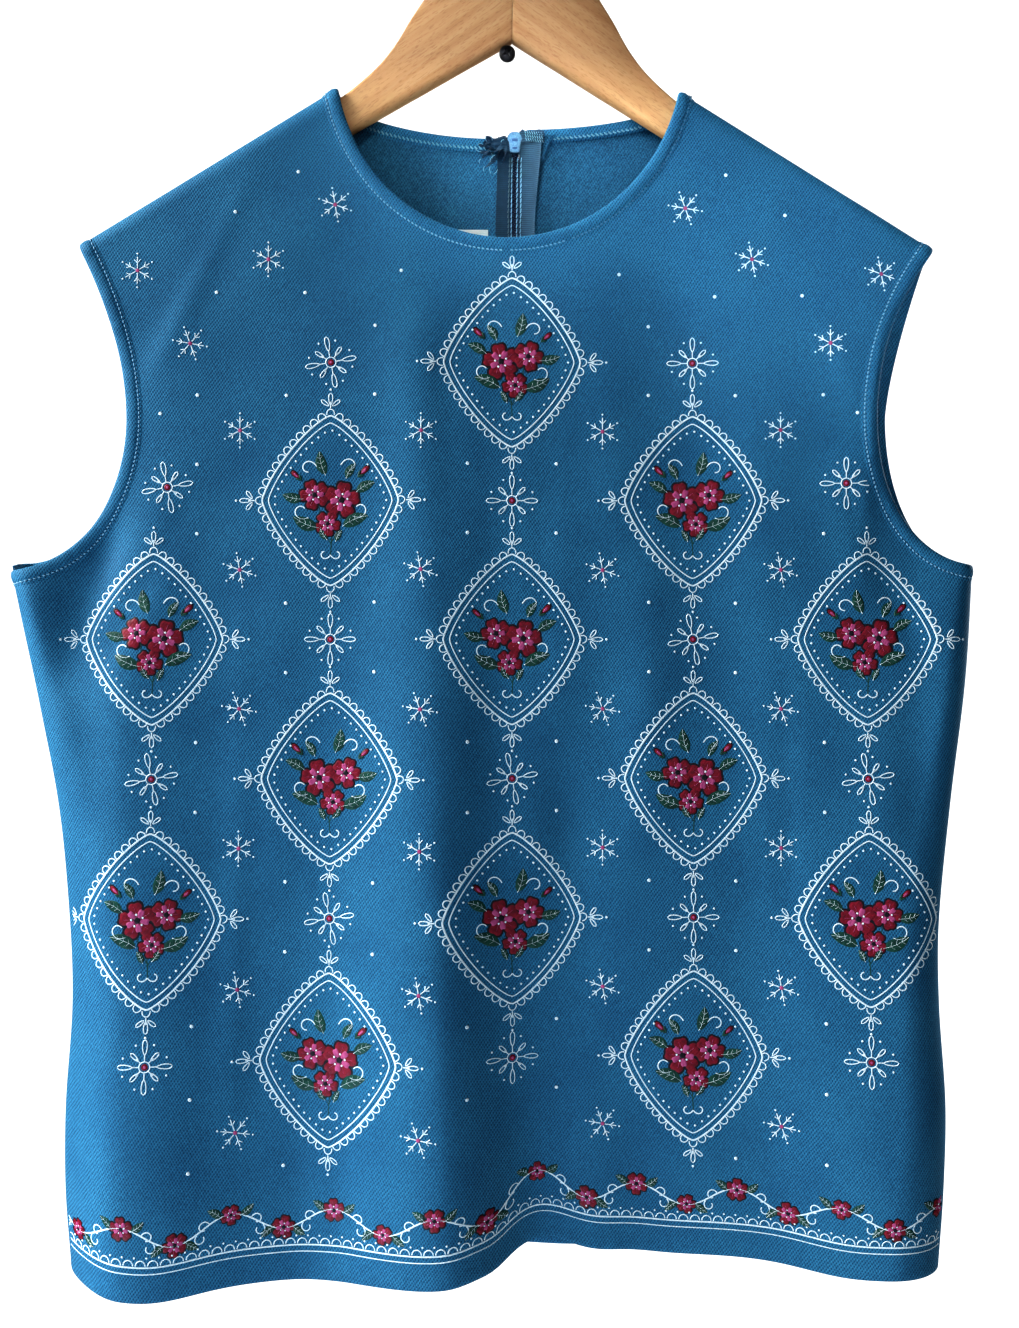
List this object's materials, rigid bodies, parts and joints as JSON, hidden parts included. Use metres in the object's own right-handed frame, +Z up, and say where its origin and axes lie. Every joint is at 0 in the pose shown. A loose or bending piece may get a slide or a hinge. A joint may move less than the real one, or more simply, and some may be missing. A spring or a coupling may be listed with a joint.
{
  "type": "sleeveless blouse on a wooden clothes hanger held by a wall screw",
  "caption": "Sleeveless knit blouse with a printed floral pattern, round neck and centre-back zip, hung on a wooden hanger that rests on a wall screw.",
  "frame": {"origin": "the notch under the hanger's apex, where the wall screw carries it, in the middle of the wood's thickness", "axes": "+Z up; the blouse's front faces -Y; +X to the right as one looks at the front"},
  "size_m": [0.5257, 0.0787, 0.7879],
  "materials": {
    "printed_knit": "smooth double knit with a fine diagonal rib and a floral print",
    "turned_edge": "plain inner face of the knit",
    "zip_tape_left": "woven zip tape, dark slate",
    "zip_tape_right": "woven zip tape, grey-blue",
    "zip_coil": "navy moulded coil",
    "slider_enamel": "light blue enamel",
    "stop_metal": "plain crimped metal",
    "label_cloth": "bare white woven tape",
    "beech": "clear satin lacquer",
    "hook_wire": "bright plated wire",
    "black_screw": "black oxide, satin"
  },
  "bodies": {
    "blouse": {"front_panel": "printed_knit", "back_panel_left": "printed_knit", "back_panel_right": "printed_knit", "neck_hem_front": "turned_edge", "neck_hem_back_left": "turned_edge", "neck_hem_back_right": "turned_edge", "armhole_hem_front_left": "turned_edge", "armhole_hem_front_right": "turned_edge", "armhole_hem_back_left": "turned_edge", "armhole_hem_back_right": "turned_edge", "zip_allowance_left": "turned_edge", "zip_allowance_right": "turned_edge", "zip_tape_left": "zip_tape_left", "zip_tape_right": "zip_tape_right", "zip_coil_left": "zip_coil", "zip_coil_right": "zip_coil", "zip_slider": "slider_enamel", "zip_bottom_stop": "stop_metal", "label": "label_cloth", "hanger_arm_left": "beech", "hanger_arm_right": "beech", "hanger_hook": "hook_wire", "wall_screw": "black_screw"},
    "zip_pull": {"zip_pull_tab": "slider_enamel"}
  },
  "joints": [
    {"name": "zip_pull_hinge", "type": "hinge", "parent": "blouse", "child": "zip_pull", "pos_m": [0.00159, 0.00969, -0.0515], "axis": [1, 0, 0], "range_deg": [0, 150]}
  ]
}
